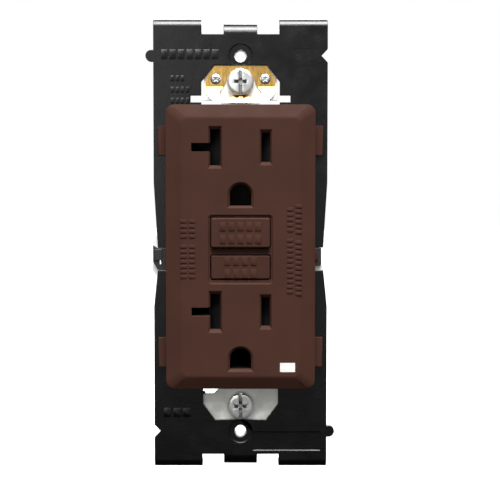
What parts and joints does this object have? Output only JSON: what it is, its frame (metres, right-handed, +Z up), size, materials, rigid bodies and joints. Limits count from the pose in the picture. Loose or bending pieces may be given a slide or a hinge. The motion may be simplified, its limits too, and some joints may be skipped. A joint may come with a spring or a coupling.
{
  "type": "electrical outlet",
  "caption": "Ground-fault duplex receptacle with test and reset buttons, T-slot outlets, a steel mounting strap and a screwless wall plate frame.",
  "frame": {"origin": "midway between the two box screws, on the back face of the steel strap", "axes": "+Z up the wall, +X to the viewer's right, +Y into the wall; the face looks towards -Y"},
  "size_m": [0.0486, 0.0366, 0.1156],
  "materials": {
    "brown_cover": "matte moulded",
    "button_plastic": "matte moulded",
    "black_frame": "fine grained",
    "housing_black": "matte",
    "carrier_grey": "matte",
    "shutter_black": "satin",
    "nylon": "satin",
    "light_plastic": "clear white",
    "galvanised_steel": "zinc coated",
    "zinc_screw": "bright zinc",
    "spring_steel": "bright",
    "brass_clip": "satin",
    "brass_contact": "satin",
    "bronze_arm": "satin",
    "green_screw": "dyed zinc",
    "copper_wire": "enamelled copper winding",
    "ferrite": "wound core",
    "board_green": "solder mask",
    "component_black": "epoxy",
    "varistor_blue": "epoxy dip",
    "capacitor_sleeve": "shrink sleeve",
    "led_lens": "clear epoxy"
  },
  "bodies": {
    "receptacle": {"capacitors": "capacitor_sleeve", "circuit_board": "board_green", "clip_rivets": "zinc_screw", "contact_carrier": "carrier_grey", "control_chip": "component_black", "face_cover": "brown_cover", "front_housing": "housing_black", "ground_clip": "brass_clip", "hot_bus": "brass_contact", "housing_screws": "zinc_screw", "indicator_led": "led_lens", "light_pipe": "light_plastic", "line_hot_terminal": "brass_contact", "line_neutral_terminal": "brass_contact", "lower_ground_contact": "brass_contact", "lower_plate_frame": "black_frame", "lower_screw_retainer": "nylon", "lower_shutter_spring": "spring_steel", "mounting_strap": "galvanised_steel", "neutral_bus": "brass_contact", "neutral_transformer": "ferrite", "rear_housing": "housing_black", "reset_spring": "spring_steel", "sense_transformer": "ferrite", "shutter_decks": "carrier_grey", "solenoid_bobbin": "nylon", "solenoid_coil": "copper_wire", "solenoid_yoke": "galvanised_steel", "surge_varistor": "varistor_blue", "test_contact_spring": "brass_contact", "toroid_housing": "nylon", "upper_ground_contact": "brass_contact", "upper_plate_frame": "black_frame", "upper_screw_retainer": "nylon", "upper_shutter_spring": "spring_steel"},
    "reset_plunger": {"reset_button": "button_plastic", "reset_pin": "spring_steel"},
    "test_plunger": {"test_button": "button_plastic"},
    "upper_shutter_body": {"upper_shutter": "shutter_black"},
    "lower_shutter_body": {"lower_shutter": "shutter_black"},
    "lifter_body": {"lifter": "nylon"},
    "latch_body": {"latch_plate": "galvanised_steel"},
    "plunger_body": {"solenoid_plunger": "spring_steel"},
    "hot_arm_body": {"hot_switch_arm": "bronze_arm"},
    "neutral_arm_body": {"neutral_switch_arm": "bronze_arm"},
    "upper_box_screw_body": {"upper_box_screw": "zinc_screw"},
    "lower_box_screw_body": {"lower_box_screw": "zinc_screw"},
    "line_hot_screw_body": {"line_hot_screw": "brass_contact"},
    "line_hot_clamp_body": {"line_hot_clamp": "zinc_screw"},
    "line_neutral_screw_body": {"line_neutral_screw": "zinc_screw"},
    "line_neutral_clamp_body": {"line_neutral_clamp": "zinc_screw"},
    "load_hot_screw_body": {"load_hot_screw": "brass_contact"},
    "load_hot_clamp_body": {"load_hot_clamp": "zinc_screw"},
    "load_neutral_screw_body": {"load_neutral_screw": "zinc_screw"},
    "load_neutral_clamp_body": {"load_neutral_clamp": "zinc_screw"},
    "ground_screw_body": {"ground_screw": "green_screw"},
    "ground_clamp_body": {"ground_clamp": "zinc_screw"}
  },
  "joints": [
    {"name": "reset_push", "type": "slide", "parent": "receptacle", "child": "reset_plunger", "axis": [0, 1, 0], "range_m": [-0.0011, 0.0017], "stiffness_N_per_m": 600, "deforming": ["reset_spring"]},
    {"name": "test_push", "type": "slide", "parent": "receptacle", "child": "test_plunger", "axis": [0, 1, 0], "range_m": [0, 0.0014], "stiffness_N_per_m": 600, "deforming": ["test_contact_spring"]},
    {"name": "upper_shutter_slide", "type": "slide", "parent": "receptacle", "child": "upper_shutter_body", "axis": [1, 0, 0], "range_m": [0, 0.0032], "stiffness_N_per_m": 60, "deforming": ["upper_shutter_spring"]},
    {"name": "lower_shutter_slide", "type": "slide", "parent": "receptacle", "child": "lower_shutter_body", "axis": [1, 0, 0], "range_m": [0, 0.0032], "stiffness_N_per_m": 60, "deforming": ["lower_shutter_spring"]},
    {"name": "contact_lift", "type": "slide", "parent": "receptacle", "child": "lifter_body", "axis": [0, 1, 0], "range_m": [0, 0.0015]},
    {"name": "latch_trip", "type": "slide", "parent": "lifter_body", "child": "latch_body", "axis": [0, 0, 1], "range_m": [0, 0.0015]},
    {"name": "solenoid_stroke", "type": "slide", "parent": "receptacle", "child": "plunger_body", "axis": [0, 0, 1], "range_m": [0, 0.0015]},
    {"name": "hot_arm_hinge", "type": "hinge", "parent": "receptacle", "child": "hot_arm_body", "pos_m": [0.00635, 0.0112, 0.0132], "axis": [1, 0, 0], "range_deg": [0, 7.2]},
    {"name": "neutral_arm_hinge", "type": "hinge", "parent": "receptacle", "child": "neutral_arm_body", "pos_m": [-0.00635, 0.0112, 0.0132], "axis": [1, 0, 0], "range_deg": [0, 7.2]},
    {"name": "upper_box_screw_turn", "type": "hinge", "parent": "receptacle", "child": "upper_box_screw_body", "pos_m": [0, 0, 0.04167], "axis": [0, -1, 0], "continuous": true},
    {"name": "lower_box_screw_turn", "type": "hinge", "parent": "receptacle", "child": "lower_box_screw_body", "pos_m": [0, 0, -0.04167], "axis": [0, -1, 0], "continuous": true},
    {"name": "line_hot_screw_turn", "type": "hinge", "parent": "receptacle", "child": "line_hot_screw_body", "pos_m": [0.0176, 0.0085, 0.0093], "axis": [1, 0, 0], "range_deg": [0, 910]},
    {"name": "line_hot_clamp_draw", "type": "slide", "parent": "receptacle", "child": "line_hot_clamp_body", "axis": [1, 0, 0], "range_m": [0, 0.00199]},
    {"name": "line_neutral_screw_turn", "type": "hinge", "parent": "receptacle", "child": "line_neutral_screw_body", "pos_m": [-0.0176, 0.0085, 0.0093], "axis": [-1, 0, 0], "range_deg": [0, 910]},
    {"name": "line_neutral_clamp_draw", "type": "slide", "parent": "receptacle", "child": "line_neutral_clamp_body", "axis": [-1, 0, 0], "range_m": [0, 0.00199]},
    {"name": "load_hot_screw_turn", "type": "hinge", "parent": "receptacle", "child": "load_hot_screw_body", "pos_m": [0.0176, 0.0085, -0.0093], "axis": [1, 0, 0], "range_deg": [0, 910]},
    {"name": "load_hot_clamp_draw", "type": "slide", "parent": "receptacle", "child": "load_hot_clamp_body", "axis": [1, 0, 0], "range_m": [0, 0.00199]},
    {"name": "load_neutral_screw_turn", "type": "hinge", "parent": "receptacle", "child": "load_neutral_screw_body", "pos_m": [-0.0176, 0.0085, -0.0093], "axis": [-1, 0, 0], "range_deg": [0, 910]},
    {"name": "load_neutral_clamp_draw", "type": "slide", "parent": "receptacle", "child": "load_neutral_clamp_body", "axis": [-1, 0, 0], "range_m": [0, 0.00199]},
    {"name": "ground_screw_turn", "type": "hinge", "parent": "receptacle", "child": "ground_screw_body", "pos_m": [-0.0094, 0.0062, -0.0432], "axis": [-1, 0, 0], "range_deg": [0, 910]},
    {"name": "ground_clamp_draw", "type": "slide", "parent": "receptacle", "child": "ground_clamp_body", "axis": [-1, 0, 0], "range_m": [0, 0.00199]}
  ],
  "couplings": [
    {"joint": "line_hot_screw_turn", "follows": "line_hot_clamp_draw", "rad_per_m": 7913.3},
    {"joint": "line_neutral_screw_turn", "follows": "line_neutral_clamp_draw", "rad_per_m": 7913.3},
    {"joint": "load_hot_screw_turn", "follows": "load_hot_clamp_draw", "rad_per_m": 7913.3},
    {"joint": "load_neutral_screw_turn", "follows": "load_neutral_clamp_draw", "rad_per_m": 7913.3},
    {"joint": "ground_screw_turn", "follows": "ground_clamp_draw", "rad_per_m": 7913.3},
    {"joint": "hot_arm_hinge", "follows": "contact_lift", "rad_per_m": 81.449},
    {"joint": "neutral_arm_hinge", "follows": "contact_lift", "rad_per_m": 81.449},
    {"joint": "latch_trip", "follows": "solenoid_stroke", "ratio": 1}
  ]
}
